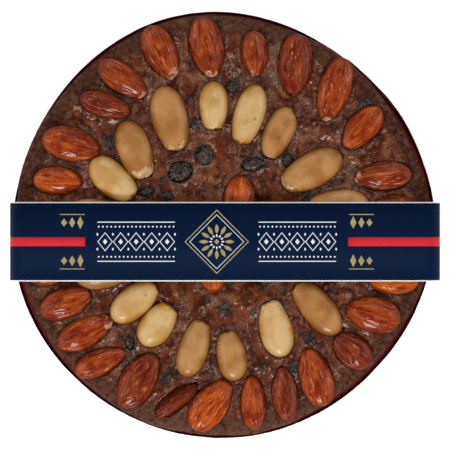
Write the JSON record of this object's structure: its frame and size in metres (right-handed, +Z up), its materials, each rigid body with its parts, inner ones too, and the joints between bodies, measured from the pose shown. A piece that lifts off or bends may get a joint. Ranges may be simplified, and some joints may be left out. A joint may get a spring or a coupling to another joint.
{
  "type": "fruit cake",
  "caption": "Round dark fruit cake with rings of skin-on and blanched almonds, in a paper collar and a printed card band.",
  "frame": {"origin": "on the standing surface, under the middle of the whole part seen from above", "axes": "+Z up out of the cake's top, +X along the card band, which is the longest side"},
  "size_m": [0.1806, 0.1797, 0.0501],
  "materials": {
    "crust": "rough dark baked crust with a thin sticky glaze",
    "collar_paper": "smooth burgundy baking paper",
    "band_card": "printed card, satin",
    "nut_skin": "ridged brown almond skin with a thin glaze",
    "blanched_nut": "smooth cream almond with a thin glaze",
    "dried_fruit": "wrinkled dark dried fruit, sticky"
  },
  "bodies": {
    "root": {"cake": "crust", "collar": "collar_paper", "band": "band_card", "skin_almond_01": "nut_skin", "skin_almond_02": "nut_skin", "skin_almond_03": "nut_skin", "skin_almond_04": "nut_skin", "skin_almond_05": "nut_skin", "skin_almond_06": "nut_skin", "skin_almond_07": "nut_skin", "skin_almond_08": "nut_skin", "skin_almond_09": "nut_skin", "skin_almond_10": "nut_skin", "skin_almond_11": "nut_skin", "skin_almond_12": "nut_skin", "skin_almond_13": "nut_skin", "skin_almond_14": "nut_skin", "skin_almond_15": "nut_skin", "skin_almond_16": "nut_skin", "skin_almond_17": "nut_skin", "skin_almond_18": "nut_skin", "skin_almond_19": "nut_skin", "skin_almond_20": "nut_skin", "skin_almond_21": "nut_skin", "skin_almond_22": "nut_skin", "skin_almond_23": "nut_skin", "skin_almond_24": "nut_skin", "skin_almond_25": "nut_skin", "skin_almond_26": "nut_skin", "skin_almond_27": "nut_skin", "skin_almond_28": "nut_skin", "skin_almond_29": "nut_skin", "skin_almond_30": "nut_skin", "skin_almond_31": "nut_skin", "blanched_almond_01": "blanched_nut", "blanched_almond_02": "blanched_nut", "blanched_almond_03": "blanched_nut", "blanched_almond_04": "blanched_nut", "blanched_almond_05": "blanched_nut", "blanched_almond_06": "blanched_nut", "blanched_almond_07": "blanched_nut", "blanched_almond_08": "blanched_nut", "blanched_almond_09": "blanched_nut", "blanched_almond_10": "blanched_nut", "blanched_almond_11": "blanched_nut", "blanched_almond_12": "blanched_nut", "blanched_almond_13": "blanched_nut", "blanched_almond_14": "blanched_nut", "blanched_almond_15": "blanched_nut", "blanched_almond_16": "blanched_nut", "blanched_almond_17": "blanched_nut", "raisin_1": "dried_fruit", "raisin_2": "dried_fruit", "raisin_3": "dried_fruit", "raisin_4": "dried_fruit", "raisin_5": "dried_fruit", "raisin_6": "dried_fruit", "raisin_7": "dried_fruit", "raisin_8": "dried_fruit"}
  },
  "joints": []
}
